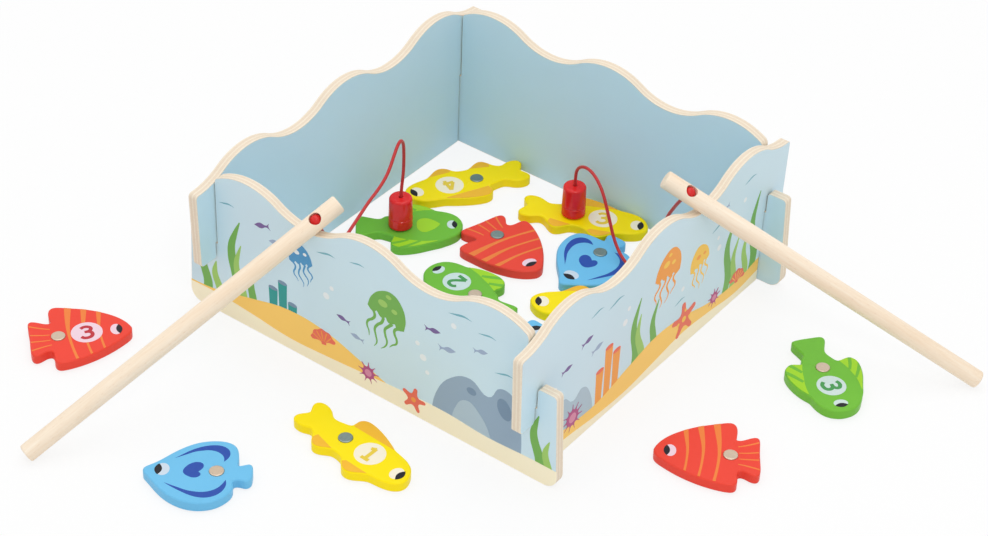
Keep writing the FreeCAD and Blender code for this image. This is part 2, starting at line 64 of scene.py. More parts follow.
# Camera
CAMERA_PLACE = in_pond(652.8, -902.7, 876.3)
CAMERA_AZIMUTH = math.radians(35.81)
CAMERA_ELEVATION = math.radians(37.66)
CAMERA_ROLL = math.radians(2.29)
CAMERA_LENS = 88.1


def make_camera():
    camera = add_object("camera", bpy.data.cameras.new("camera"))
    camera.data.lens = CAMERA_LENS
    camera.data.sensor_width = 36
    camera.data.clip_start = 0.01
    camera.data.clip_end = 20
    right = Vector((math.cos(CAMERA_AZIMUTH), math.sin(CAMERA_AZIMUTH), 0))
    back = Vector((math.sin(CAMERA_AZIMUTH), -math.cos(CAMERA_AZIMUTH), 0))
    back *= math.cos(CAMERA_ELEVATION)
    back.z = math.sin(CAMERA_ELEVATION)
    up = back.cross(right)
    turned_right = right * math.cos(CAMERA_ROLL) + up * math.sin(CAMERA_ROLL)
    turned_up = up * math.cos(CAMERA_ROLL) - right * math.sin(CAMERA_ROLL)
    rotation = Matrix((turned_right, turned_up, back)).transposed()
    camera.matrix_world = Matrix.Translation(CAMERA_PLACE) @ rotation.to_4x4()
    bpy.context.scene.camera = camera


# Shader building
def add_node(tree, kind, settings=None, **inputs):
    """A node with its settings and inputs, given by name or as i and a number.

    An input value that is a socket gets linked.
    """
    made = tree.nodes.new(kind)
    for name, value in (settings or {}).items():
        setattr(made, name, value)
    for name, value in inputs.items():
        numbered = name[0] == "i" and name[1:].isdigit()
        socket = made.inputs[int(name[1:]) if numbered else name.replace("_", " ")]
        if isinstance(value, bpy.types.NodeSocket):
            tree.links.new(value, socket)
        else:
            socket.default_value = value
    return made


def new_group(name, inputs, outputs):
    """A node group with named sockets, and the sockets inside it to read from and to feed."""
    group = bpy.data.node_groups.new(name, "ShaderNodeTree")
    for label, kind, value in inputs:
        socket = group.interface.new_socket(label, in_out="INPUT", socket_type=kind)
        if value is not None:
            socket.default_value = value
    for label, kind in outputs:
        group.interface.new_socket(label, in_out="OUTPUT", socket_type=kind)
    start = group.nodes.new("NodeGroupInput")
    end = group.nodes.new("NodeGroupOutput")
    return group, start.outputs, end.inputs


def math_node(tree, operation, first, second=0.0):
    made = add_node(tree, "ShaderNodeMath", {"operation": operation}, i0=first, i1=second)
    return made.outputs[0]


def times_plus(tree, value, factor, extra):
    return math_node(tree, "ADD", math_node(tree, "MULTIPLY", value, factor), extra)


def mix_colours(tree, factor, first, second):
    """The colour between first and second, by factor."""
    made = add_node(tree, "ShaderNodeMix", {"data_type": "RGBA"}, i0=factor, i6=first, i7=second)
    return made.outputs[2]


def ramp(tree, value, start, end):
    """0 before the start and 1 past the end."""
    made = add_node(tree, "ShaderNodeMapRange", {"clamp": True}, i0=value, i1=start, i2=end)
    return made.outputs[0]


def noise(tree, place, scale, detail=2.0):
    made = add_node(tree, "ShaderNodeTexNoise", Vector=place, Scale=scale, Detail=detail)
    return made.outputs[0]


def drawn_out(tree, place, share):
    """Coordinates that draw a pattern out along X."""
    made = add_node(tree, "ShaderNodeVectorMath", {"operation": "MULTIPLY"}, i0=place,
                    i1=(share, 1, 1))
    return made.outputs[0]


def linear(red, green, blue):
    """A colour given as it looks on screen, 0 to 255, as the shader needs it."""
    values = []
    for part in (red, green, blue):
        part = part / 255
        values.append(part / 12.92 if part <= 0.04045 else ((part + 0.055) / 1.055) ** 2.4)
    return tuple(values) + (1.0,)


def make_grain_group():
    """Wood grain that runs along X: fine fibres, short flecks and a slow change of tone."""
    group, given, result = new_group(
        "wood_grain",
        [("Vector", "NodeSocketVector", None), ("Fibre", "NodeSocketFloat", 900.0)],
        [("Tone", "NodeSocketFloat"), ("Fleck", "NodeSocketFloat"), ("Height", "NodeSocketFloat")],
    )
    long = drawn_out(group, given[0], 0.07)
    short = drawn_out(group, given[0], 0.3)
    fibres = noise(group, long, given[1], 3.0)
    slow = noise(group, long, 120.0)
    flecks = add_node(group, "ShaderNodeTexVoronoi", Vector=short, Scale=650.0, Randomness=1.0)
    tone = times_plus(group, fibres, 0.45, math_node(group, "MULTIPLY", slow, 0.55))
    group.links.new(ramp(group, tone, 0.32, 0.68), result[0])
    group.links.new(ramp(group, flecks.outputs[0], 0.22, 0.08), result[1])
    group.links.new(fibres, result[2])
    return group


def make_paint_group():
    """Sprayed paint on wood: a faint change of tone, fine orange peel and the grain under it."""
    group, given, result = new_group(
        "paint_film",
        [("Vector", "NodeSocketVector", None), ("Colour", "NodeSocketColor", None),
         ("Change", "NodeSocketFloat", 0.06)],
        [("Colour", "NodeSocketColor"), ("Roughness", "NodeSocketFloat"),
         ("Height", "NodeSocketFloat")],
    )
    cloud = noise(group, given[0], 45.0)
    peel = noise(group, given[0], 1400.0)
    under = noise(group, drawn_out(group, given[0], 0.12), 700.0)
    value = times_plus(group, math_node(group, "SUBTRACT", cloud, 0.5), given[2], 1.0)
    tinted = add_node(group, "ShaderNodeHueSaturation", Value=value, Color=given[1])
    group.links.new(tinted.outputs[0], result[0])
    group.links.new(times_plus(group, cloud, 0.1, 0.33), result[1])
    group.links.new(times_plus(group, peel, 0.5, under), result[2])
    return group


GRAIN = make_grain_group()
PAINT = make_paint_group()
PLY_COUNT = 5


def start_material(name, follows="Object"):
    """A new material, its node tree, its shader and the coordinates that its pattern follows."""
    material = bpy.data.materials.new(name)
    material.use_nodes = True
    tree = material.node_tree
    place = add_node(tree, "ShaderNodeTexCoord").outputs[follows]
    return material, tree, tree.nodes["Principled BSDF"], place


def use_bump(tree, shader, height, strength, distance):
    bump = add_node(tree, "ShaderNodeBump", Height=height, Strength=strength, Distance=distance)
    tree.links.new(bump.outputs[0], shader.inputs["Normal"])


def painted(name, colour, change=0.06, bump=0.12):
    """Satin paint of one colour on wood."""
    material, tree, shader, place = start_material(name)
    film = add_node(tree, "ShaderNodeGroup", {"node_tree": PAINT}, Vector=place, Colour=colour,
                    Change=change)
    tree.links.new(film.outputs["Colour"], shader.inputs["Base Color"])
    tree.links.new(film.outputs["Roughness"], shader.inputs["Roughness"])
    shader.inputs["Specular IOR Level"].default_value = 0.2
    use_bump(tree, shader, film.outputs["Height"], bump, 0.05 * MM)
    return material


def sanded_beech(name, heading, pitch):
    """Sanded beech with its grain along a line given by heading and pitch."""
    material, tree, shader, place = start_material(name)
    turn = add_node(tree, "ShaderNodeMapping", {"vector_type": "TEXTURE"}, Vector=place,
                    Rotation=(0, -pitch, heading))
    grain = add_node(tree, "ShaderNodeGroup", {"node_tree": GRAIN}, Vector=turn.outputs[0])
    tone = mix_colours(tree, grain.outputs["Tone"], linear(240, 217, 189), linear(250, 236, 216))
    faint = math_node(tree, "MULTIPLY", grain.outputs["Fleck"], 0.16)
    flecked = mix_colours(tree, faint, tone, linear(196, 150, 112))
    tree.links.new(flecked, shader.inputs["Base Color"])
    shader.inputs["Roughness"].default_value = 0.55
    use_bump(tree, shader, grain.outputs["Height"], 0.25, 0.1 * MM)
    return material


def plated_steel(name, colour, worn):
    """Dull plating with fine scratches that show a second tone."""
    material, tree, shader, place = start_material(name)
    scratch = noise(tree, place, 900.0, 3.0)
    tree.links.new(mix_colours(tree, scratch, colour, worn), shader.inputs["Base Color"])
    tree.links.new(times_plus(tree, scratch, 0.2, 0.28), shader.inputs["Roughness"])
    shader.inputs["Metallic"].default_value = 1.0
    use_bump(tree, shader, scratch, 0.15, 0.1 * MM)
    return material


def gloss_plastic(name, colour):
    """Moulded plastic with a soft gloss and a slow change to a deeper red."""
    material, tree, shader, place = start_material(name)
    cloud = noise(tree, place, 160.0)
    deep = math_node(tree, "MULTIPLY", cloud, 0.25)
    tree.links.new(mix_colours(tree, deep, colour, linear(150, 8, 22)), shader.inputs["Base Color"])
    tree.links.new(times_plus(tree, cloud, 0.08, 0.14), shader.inputs["Roughness"])
    shader.inputs["Specular IOR Level"].default_value = 0.3
    shader.inputs["Coat Weight"].default_value = 0.08
    use_bump(tree, shader, cloud, 0.06, 0.2 * MM)
    return material


def waxed_cord(name):
    """A braided cord: two sets of slanting strands that follow the cord's own map, with painted shade in
    the grooves between them.
    """
    material, tree, shader, place = start_material(name, "UV")
    heights = []
    for slant in (1, -1):
        turn = add_node(tree, "ShaderNodeMapping", Vector=place, Scale=(230.0, 4.0 * slant, 1.0))
        strands = add_node(tree, "ShaderNodeTexWave", {"bands_direction": "DIAGONAL"},
                           Vector=turn.outputs[0], Scale=0.6, Distortion=0.4)
        heights.append(strands.outputs[1])
    weave = math_node(tree, "MAXIMUM", *heights)
    # The cord's shaded red in the grooves between the strands and its lit red on the strand tops: painted
    # shade in the grooves
    weave_with_painted_shade = mix_colours(tree, weave, linear(150, 14, 20), linear(212, 32, 34))
    tree.links.new(weave_with_painted_shade, shader.inputs["Base Color"])
    shader.inputs["Roughness"].default_value = 0.42
    shader.inputs["Sheen Weight"].default_value = 0.06
    use_bump(tree, shader, weave, 0.5, 0.15 * MM)
    return material


def plywood(name, axis, middle):
    """The cut edge of plywood, with its light and tan plies across the wall's thickness."""
    material, tree, shader, place = start_material(name)
    across = add_node(tree, "ShaderNodeSeparateXYZ", Vector=place).outputs[axis]
    fibre = noise(tree, place, 900.0, 3.0)
    wander = math_node(tree, "SUBTRACT", noise(tree, place, 45.0), 0.5)
    away = math_node(tree, "ABSOLUTE", math_node(tree, "SUBTRACT", across, middle))
    depth = math_node(tree, "SUBTRACT", HALF_POND, away)
    plies = math_node(tree, "DIVIDE", depth, WALL_THICKNESS / PLY_COUNT)
    centred = math_node(tree, "SUBTRACT", plies, 0.5)
    wavy = math_node(tree, "ADD", centred, math_node(tree, "MULTIPLY", wander, 0.5))
    ply = math_node(tree, "PINGPONG", wavy, 1.0)
    tan = math_node(tree, "MULTIPLY", ramp(tree, ply, 0.45, 0.75), 0.6)
    glue = math_node(tree, "ABSOLUTE", math_node(tree, "SUBTRACT", ply, 0.55))
    line = math_node(tree, "MULTIPLY", ramp(tree, glue, 0.16, 0.04), 0.25)
    light = mix_colours(tree, fibre, linear(228, 212, 188), linear(246, 236, 218))
    tone = mix_colours(tree, tan, light, linear(226, 206, 182))
    tree.links.new(mix_colours(tree, line, tone, linear(184, 150, 118)), shader.inputs["Base Color"])
    shader.inputs["Roughness"].default_value = 0.65
    use_bump(tree, shader, fibre, 0.3, 0.1 * MM)
    return material


PRINT_COLOURS = {
    "inside_blue": (202, 231, 244), "outside_blue": (206, 229, 239), "sand": (255, 244, 213),
    "dune": (255, 207, 106), "rock": (150, 172, 192), "pale_rock": (176, 196, 208),
    "deep_rock": (122, 146, 170), "leaf": (118, 176, 84), "pale_leaf": (160, 202, 104),
    "teal": (48, 152, 146), "sea_line": (120, 178, 192), "violet": (122, 100, 154),
    "mist": (158, 176, 202), "coral": (236, 112, 86), "orange": (244, 160, 70),
    "amber_print": (248, 200, 82), "magenta": (182, 82, 132), "rose": (216, 140, 168),
    "foam": (232, 238, 240), "sky": (82, 152, 200),
}


def make_materials():
    mats = {
        "red": painted("red_paint", linear(236, 70, 54)),
        "orange_line": painted("orange_line_paint", linear(238, 130, 62)),
        "blue": painted("blue_paint", linear(112, 190, 232)),
        "deep_blue": painted("deep_blue_paint", linear(44, 80, 168)),
        "green": painted("green_paint", linear(114, 187, 58)),
        "light_green": painted("light_green_paint", linear(162, 214, 44)),
        "yellow": painted("yellow_paint", linear(255, 228, 2)),
        "amber": painted("amber_paint", linear(246, 186, 52)),
        "black": painted("pupil_paint", linear(34, 32, 38)),
        "rose_circle": painted("rose_circle_paint", linear(238, 208, 220)),
        "cream_circle": painted("cream_circle_paint", linear(249, 238, 214)),
        "mint_circle": painted("mint_circle_paint", linear(205, 223, 219)),
        "ice_circle": painted("ice_circle_paint", linear(202, 216, 230)),
        "red_number": painted("red_number_paint", linear(190, 52, 62)),
        "amber_number": painted("amber_number_paint", linear(236, 204, 70)),
        "green_number": painted("green_number_paint", linear(74, 152, 84)),
        # One and the same disc plating in two tones, grey and warm: the tones are painted reflections of
        # what each disc mirrors
        "steel_painted_grey_reflection": plated_steel("plated_steel_painted_grey_reflection", linear(158, 168, 162), linear(134, 146, 142)),
        "steel_painted_warm_reflection": plated_steel("plated_steel_painted_warm_reflection", linear(212, 190, 168), linear(190, 174, 156)),
        "magnet": plated_steel("magnet_plating", linear(120, 120, 124), linear(150, 148, 146)),
        "plastic": gloss_plastic("red_gloss_plastic", linear(240, 40, 40)),
        "cord": waxed_cord("red_waxed_cord"),
        "knot": gloss_plastic("waxed_knot", linear(222, 36, 34)),
        "ply_x": plywood("birch_plywood_edge_x", 0, POND.x),
        "ply_y": plywood("birch_plywood_edge_y", 1, POND.y),
    }
    for name, colour in PRINT_COLOURS.items():
        mats[name] = painted(f"{name}_print", linear(*colour), change=0.03, bump=0.05)
    return mats


# Modelling helpers. Faces over the big size are shaded flat
MERGE_DISTANCE = 0.002 * MM
BIG_FACE = 30.0 * MM * MM
FLAT_ANGLE = math.radians(0.5)
EDGE_ANGLE = math.radians(28)
SMOOTH_ANGLE = math.radians(35)
EDGE_SEGMENTS = 2


def only(piece):
    """Leaves just this piece selected and active."""
    bpy.ops.object.select_all(action="DESELECT")
    piece.select_set(True)
    bpy.context.view_layer.objects.active = piece


def apply_modifier(piece, kind, **settings):
    only(piece)
    modifier = piece.modifiers.new(kind.lower(), kind)
    for name, value in settings.items():
        setattr(modifier, name, value)
    bpy.ops.object.modifier_apply(modifier=modifier.name)


def apply_place():
    """Moves the place of the selected pieces into their meshes."""
    bpy.ops.object.transform_apply(location=True, rotation=True, scale=True)


def open_merged(piece):
    """Opens a piece in edit mode, all of it selected and its doubles merged."""
    only(piece)
    bpy.ops.object.mode_set(mode="EDIT")
    bpy.ops.mesh.select_all(action="SELECT")
    bpy.ops.mesh.remove_doubles(threshold=MERGE_DISTANCE)


def flatten_big_faces(piece):
    """Shades the large flat faces flat, so that the rounded rims beside them don't tint them."""
    for face in piece.data.polygons:
        if face.area > BIG_FACE:
            face.use_smooth = False


def dressed_copy(node, name, material, edge=0.0):
    """A merged copy of a node's own shape, its edges softened, that stands for the node."""
    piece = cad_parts[node].copy()
    piece.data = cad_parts[node].data.copy()
    piece.name = name
    piece.parent = None
    for key in list(piece.keys()):
        del piece[key]
    bpy.context.scene.collection.objects.link(piece)
    piece.data.materials.clear()
    piece.data.materials.append(material)
    open_merged(piece)
    bpy.ops.mesh.customdata_custom_splitnormals_clear()
    bpy.ops.mesh.dissolve_limited(angle_limit=FLAT_ANGLE)
    bpy.ops.object.mode_set(mode="OBJECT")
    if edge:
        apply_modifier(piece, "BEVEL", width=edge, segments=EDGE_SEGMENTS, limit_method="ANGLE",
                       angle_limit=EDGE_ANGLE, use_clamp_overlap=True)
    only(piece)
    bpy.ops.object.shade_smooth_by_angle(angle=SMOOTH_ANGLE)
    flatten_big_faces(piece)
    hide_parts(node)
    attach(piece, "root")
    return piece


# Flat prints: thin closed plates, drawn in millimetres. Each shape: its points and its corners
LAYER = 0.05 * MM
CUTTER_LEAD = 1.5
CURVE_STEPS = 5
ELLIPSE_POINTS = 12


def turned_shape(points, x, y, scale, turn):
    """Points scaled and turned about their origin, which comes to x and y."""
    lean = math.radians(turn)
    return [(x + scale * (u * math.cos(lean) - v * math.sin(lean)),
             y + scale * (u * math.sin(lean) + v * math.cos(lean))) for u, v in points]


def ellipse(x, y, across, high, turn=0.0):
    """An ellipse, given by the halves of its width and height."""
    points = []
    for index in range(ELLIPSE_POINTS):
        angle = 2 * math.pi * index / ELLIPSE_POINTS
        points.append((across * math.cos(angle), high * math.sin(angle)))
    return turned_shape(points, x, y, 1.0, turn), ()


def ribbon(spine, widths):
    """A band along a spine of points. Its half widths are a list, or one number for all."""
    left, right = [], []
    for index, (x, y) in enumerate(spine):
        before, after = spine[max(index - 1, 0)], spine[min(index + 1, len(spine) - 1)]
        along = Vector((after[0] - before[0], after[1] - before[1])).normalized()
        wide = widths[index] if isinstance(widths, (list, tuple)) else widths
        left.append((x - along.y * wide, y + along.x * wide))
        right.append((x + along.y * wide, y - along.x * wide))
    count = len(spine)
    return left + right[::-1], (0, count - 1, count, 2 * count - 1)


def star(x, y, outer, inner, count, turn, sharp=False):
    """A star with sharp or rounded tips."""
    points = []
    for index in range(count * 2):
        reach = outer if index % 2 == 0 else inner
        angle = math.radians(turn) + math.pi * index / count
        points.append((x + reach * math.cos(angle), y + reach * math.sin(angle)))
    return points, tuple(range(0, count * 2, 2)) if sharp else ()


def as_closed_mesh(piece, material, level):
    """Makes a raised flat curve a closed mesh that reaches up to its layer."""
    only(piece)
    bpy.ops.object.convert(target="MESH")
    piece.data.materials.clear()
    piece.data.materials.append(material)
    open_merged(piece)
    bpy.ops.mesh.normals_make_consistent(inside=False)
    bpy.ops.object.mode_set(mode="OBJECT")
    piece.location.z = LAYER * (level - 1) / 2
    apply_place()
    return piece


def flat_plate(name, shapes, material, level):
    """One mesh of flat shapes in the XY plane, from just under the surface to its layer's height."""
    curve = bpy.data.curves.new(name, "CURVE")
    curve.dimensions = "2D"
    curve.fill_mode = "BOTH"
    curve.resolution_u = CURVE_STEPS
    curve.extrude = LAYER * (level + 1) / 2
    for points, corners in shapes:
        spline = curve.splines.new("BEZIER")
        spline.bezier_points.add(len(points) - 1)
        spline.use_cyclic_u = True
        for index, (knot, (x, y)) in enumerate(zip(spline.bezier_points, points)):
            knot.co = (x * MM, y * MM, 0)
            kind = "VECTOR" if index in corners else "AUTO"
            knot.handle_left_type = kind
            knot.handle_right_type = kind
    return as_closed_mesh(add_object(name, curve), material, level)


# The strokes of each numeral, and half their width
NUMERALS = {
    "1": ([(0.3, 4.9), (0.3, 0.0), (0.3, -4.9)], [(-2.4, -4.7), (0.3, -4.7), (3.0, -4.7)],
          [(-2.2, 3.4), (-0.8, 4.0), (0.6, 4.9)]),
    "2": ([(-2.9, 3.1), (-1.7, 4.5), (0.4, 4.9), (2.3, 4.1), (2.8, 2.4), (1.7, 0.3), (-0.6, -2.2),
           (-3.0, -4.6)],
          [(-3.2, -4.7), (0.0, -4.7), (3.2, -4.7)]),
    "3": ([(-3.1, 3.7), (-1.4, 4.8), (0.8, 4.8), (2.5, 3.5), (2.0, 1.4), (0.4, 0.5), (-1.2, 0.4)],
          [(-0.2, 0.5), (1.8, 0.1), (3.0, -1.5), (2.5, -3.7), (0.4, -4.9), (-1.8, -4.8), (-3.4, -3.6)]),
    "4": ([(1.2, 5.1), (-1.0, 1.6), (-3.2, -1.8)], [(-3.6, -2.0), (0.0, -2.0), (3.4, -2.0)],
          [(1.3, 5.0), (1.3, 0.0), (1.3, -4.9)]),
}
STROKE = 1.12


def numeral_plates(name, numeral, middle, material, level):
    """A numeral of even strokes, each stroke a plate on its own layer."""
    plates = []
    for index, stroke in enumerate(NUMERALS[numeral]):
        spine = [(middle[0] + x, middle[1] + y) for x, y in stroke]
        shape = ribbon(spine, STROKE)
        plates.append(flat_plate(f"{name}_{index}", [shape], material, level + index))
    return plates


def set_down(piece, place, rotation):
    """Turns a plate and brings it to its place on a fish or a wall."""
    piece.rotation_euler = rotation
    piece.location = place
    only(piece)
    apply_place()


def clip_to(piece, solid, outward, level):
    """Keeps the part of a plate that lies on the solid's face, whose outer side is given."""
    only(solid)
    bpy.ops.object.duplicate()
    cutter = bpy.context.active_object
    cutter.location = outward * LAYER * (level + CUTTER_LEAD)
    apply_place()
    apply_modifier(piece, "BOOLEAN", operation="INTERSECT", object=cutter, solver="MANIFOLD")
    bpy.data.objects.remove(cutter)


def join_pieces(pieces, name):
    bpy.ops.object.select_all(action="DESELECT")
    for piece in pieces:
        piece.select_set(True)
    bpy.context.view_layer.objects.active = pieces[0]
    bpy.ops.object.join()
    joined = bpy.context.active_object
    joined.name = name
    joined.data.name = name
    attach(joined, "root")


# The fish: millimetres from the pond's middle, the nose's heading, and the numeral that is up, if any
FISH = {
    "red_fish_3": (-149.6, -184.8, 51.2, "3"),
    "blue_fish_a": (-21.3, -227.5, 215.7, ""),
    "yellow_fish_1": (29.9, -159.0, 357.8, "1"),
    "red_fish_a": (179.7, -45.7, 212.0, ""),
    "green_fish_3": (195.6, 52.8, 318.7, "3"),
    "yellow_fish_4": (-73.0, 69.6, 245.3, "4"),
    "green_fish_a": (-71.6, 12.4, 42.1, ""),
    "red_fish_b": (-12.0, 34.4, 342.5, ""),
    "green_fish_2": (-5.1, -14.8, 169.9, "2"),
    "yellow_fish_3": (4.8, 88.5, 26.4, "3"),
    "blue_fish_b": (32.8, 54.2, 268.6, ""),
    "yellow_fish_a": (61.2, 20.8, 217.1, "2"),
    "blue_fish_c": (62.0, -32.0, 140.0, ""),
}
PUPIL_HEIGHT = 0.9
NUMBER_LEVEL = 3
NUMBER_PAINT = {"red": "red_number", "yellow": "amber_number", "green": "green_number"}
# Discs whose steel carries the grey painted reflection; the others carry the warm painted reflection
DISCS_PAINTED_GREY_REFLECTION = ("yellow_fish_1", "yellow_fish_3", "yellow_fish_4", "yellow_fish_a", "red_fish_b",
              "blue_fish_b", "blue_fish_c", "green_fish_a")

# Printed shapes, the nose along +X and the back along +Y
RED_STRIPES = [
    ribbon([(11.3, 19.0), (10.6, 12.0), (9.8, 2.0), (10.2, -8.0), (11.6, -20.0)],
           [1.45, 1.15, 0.75, 0.62, 0.72]),
    ribbon([(3.4, 24.0), (2.4, 16.0), (1.3, 4.0), (1.9, -8.0), (4.2, -24.0)],
           [1.85, 1.45, 0.9, 0.66, 0.75]),
    ribbon([(-5.2, 28.0), (-6.4, 18.0), (-7.4, 4.0), (-6.8, -8.0), (-4.0, -27.0)],
           [2.1, 1.7, 1.0, 0.75, 0.9]),
]
RED_RAYS = [
    ribbon([(-17.4, 7.0), (-22.0, 8.6), (-33.0, 14.0)], [0.3, 0.45, 0.5]),
    ribbon([(-18.0, 2.0), (-23.0, 2.6), (-33.0, 4.8)], [0.3, 0.42, 0.48]),
    ribbon([(-18.0, -2.7), (-23.0, -2.6), (-33.0, -2.0)], [0.3, 0.42, 0.48]),
    ribbon([(-17.6, -6.9), (-22.0, -7.8), (-33.0, -11.0)], [0.3, 0.45, 0.5]),
]
BLUE_CRESCENTS = [
    ([(13.8, 8.8), (10.0, 12.0), (6.2, 15.2), (2.2, 17.7), (-1.8, 19.4), (-6.0, 20.2), (-9.6, 20.0),
      (-12.9, 18.4), (-14.8, 15.8), (-15.2, 12.4), (-14.2, 9.8), (-12.6, 7.6), (-12.0, 11.3),
      (-9.5, 14.3), (-6.7, 15.7), (-3.6, 16.1), (-0.3, 15.6), (3.8, 14.4), (7.7, 12.2)], (0, 11)),
    ([(17.2, -10.2), (12.4, -13.6), (8.0, -16.3), (3.4, -18.8), (-1.4, -20.4), (-5.8, -20.6),
      (-9.8, -19.3), (-12.9, -16.8), (-14.9, -13.4), (-15.6, -9.6), (-15.0, -6.4), (-13.5, -9.8),
      (-11.2, -13.0), (-7.8, -15.3), (-3.8, -16.4), (0.2, -16.3), (4.8, -15.4), (9.8, -13.4)], (0, 10)),
]
BLUE_HEART = [
    ([(8.2, -0.9), (6.8, 3.0), (4.4, 5.4), (1.4, 6.5), (-1.4, 5.6), (-2.3, 3.4), (-1.4, 0.9), (0.1, -0.9),
      (-1.3, -2.6), (-0.7, -4.5), (2.2, -5.6), (5.2, -4.6), (7.4, -2.9)], (7,)),
]
YELLOW_FINS = [
    ([(-10.8, 10.0), (17.9, 9.8), (19.0, 24.0), (-12.0, 24.0)], (0, 1, 2, 3)),
    ([(-20.8, -7.6), (-7.8, -11.1), (-8.0, -20.0), (-24.0, -20.0), (-22.5, -13.0)], (0, 1, 2, 3, 4)),
    ([(4.4, -13.0), (22.4, -13.6), (22.8, -24.0), (2.0, -24.0), (1.6, -16.0)], (0, 1, 2, 3, 4)),
]
GREEN_FINS = [
    ([(-9.8, 11.0), (-4.0, 13.6), (1.0, 15.0), (7.0, 16.2), (16.0, 16.0), (16.0, 26.0), (-18.0, 26.0),
      (-18.0, 12.0)], (0, 4, 5, 6, 7)),
    ([(-9.4, -10.8), (-4.0, -12.3), (2.2, -13.4), (8.0, -14.4), (16.8, -14.6), (16.0, -26.0),
      (-18.0, -26.0), (-18.0, -11.6)], (0, 4, 5, 6, 7)),
]
GREEN_FIN_LINES = [
    ribbon([(-11.6, 17.6), (-6.5, 16.5), (-1.2, 14.6)], [1.0, 0.95, 0.75]),
    ribbon([(-6.8, 22.4), (-1.0, 19.8), (6.0, 16.0)], [1.05, 0.95, 0.75]),
    ribbon([(-10.6, -18.6), (-7.0, -15.8), (-2.9, -12.9)], [1.25, 1.2, 0.95]),
    ribbon([(-5.4, -23.2), (-0.6, -18.8), (5.0, -14.6)], [1.3, 1.25, 0.95]),
]
GREEN_DROP = [
    ([(4.6, 0.2), (5.4, 5.0), (8.6, 7.4), (12.6, 6.0), (16.4, 3.0), (18.8, -0.4), (15.0, -4.2),
      (9.6, -6.4), (5.8, -4.8)], (5,)),
]


def lens(x, y, across, high):
    """The pointed shape of a pupil."""
    outline = [(0.0, 1.0), (0.62, 0.62), (1.0, 0.0), (0.62, -0.62), (0.0, -1.0), (-0.62, -0.62),
               (-1.0, 0.0), (-0.62, 0.62)]
    return [(x + across * u, y + high * v) for u, v in outline], (0, 4)


def eye_marks(white, x, y, across, high, pupil_x, pupil_across):
    return [
        (white, 1, [ellipse(x, y, across, high)], False),
        ("black", 2, [lens(pupil_x, y, pupil_across, high * PUPIL_HEIGHT)], False),
    ]


def marks_of(colour, numbered):
    """The marks of a kind of fish, each a material, a layer, shapes and whether it is cut to the body.

    The number's circle comes second: its material, middle and half width.
    """
    if colour == "red":
        marks = eye_marks("rose_circle", 19.1, -0.2, 3.25, 4.65, 20.9, 1.72)
        marks += [("orange_line", 1, RED_STRIPES, True), ("orange_line", 1, RED_RAYS, True)]
        circle = ("rose_circle", (2.6, 0.2), 8.9)
    elif colour == "blue":
        marks = eye_marks("ice_circle", 19.1, -0.1, 3.7, 4.7, 21.4, 2.0)
        marks += [("deep_blue", 1, BLUE_CRESCENTS, False), ("deep_blue", 1, BLUE_HEART, False)]
        circle = None
    elif colour == "green":
        marks = eye_marks("mint_circle", 25.8, 0.6, 3.0, 4.1, 27.4, 1.65)
        marks += [("light_green", 1, GREEN_FINS, True), ("green", 2, GREEN_FIN_LINES, True)]
        circle = ("mint_circle", (10.6, 0.0), 8.3)
        if not numbered:
            marks.append(("light_green", 1, GREEN_DROP, False))
    else:
        marks = eye_marks("cream_circle", 31.5, -3.1, 3.6, 4.65, 34.0, 1.95)
        marks += [("amber", 1, YELLOW_FINS, True)]
        circle = ("cream_circle", (10.6, -0.9), 8.7)
    if numbered:
        marks.append((circle[0], 2, [ellipse(*circle[1], circle[2], circle[2])], False))
    return marks, circle


def print_fish(name, body, mats):
    """The marks of one fish as thin plates on its upper face."""
    x, y, heading, numeral = FISH[name]
    colour = name.split("_")[0]
    flip = 1 if numeral else -1
    marks, circle = marks_of(colour, bool(numeral))
    place = in_pond(x, y)
    place.z = FISH_TOP
    turn = (0, 0, math.radians(heading))
    upward = Vector((0, 0, 1))
    plates = []
    for index, (paint, level, shapes, cut) in enumerate(marks):
        flipped = [([(u, v * flip) for u, v in points], corners) for points, corners in shapes]
        plate = flat_plate(f"{name}_mark_{index}", flipped, mats[paint], level)
        set_down(plate, place, turn)
        if cut:
            clip_to(plate, body, upward, level)
        plates.append(plate)
    if numeral:
        paint = mats[NUMBER_PAINT[colour]]
        for plate in numeral_plates(f"{name}_numeral", numeral, circle[1], paint, NUMBER_LEVEL):
            set_down(plate, place, turn)
            plates.append(plate)
    join_pieces(plates, f"{name}_print")


# The walls: plain blue inside, a printed sea outside, bare plies on the cut edges
FISH_SILHOUETTE = [(0.5, 0), (0.1, 0.15), (-0.28, 0.05), (-0.5, 0.19), (-0.42, 0), (-0.5, -0.19),
                   (-0.28, -0.05), (0.1, -0.15)]
KELP_TAPER = (1.0, 1.1, 1.15, 1.1, 1.0, 0.8, 0.5, 0.12)
KELP_WAVE = 7.0
KELP_SWAY = 0.05
TENTACLE_TAPER = (1.3, 1.2, 1.1, 1.0, 0.8, 0.6, 0.2)
TENTACLE_ROOTS = (-0.34, -0.12, 0.12, 0.34)
TENTACLE_REACH = (0.8, 1.0, 0.92, 0.7)
TENTACLE_WAVE = 8.0
TENTACLE_SWAY = 0.07
TENTACLE_WIDTH = 0.03
SHELL_POINTS = 9
SHELL_START = 165
SHELL_STEP = 18.75
SHELL_DIP = 0.93
RIB_ANGLES = (142, 116, 90, 64, 38)
TUBE_PITCH = 2.15
SEA_REACH = 140
SEA_FOOT = -5


def dart_fish(x, y, length, turn):
    return turned_shape(FISH_SILHOUETTE, x, y, length, turn), (0, 3, 5)


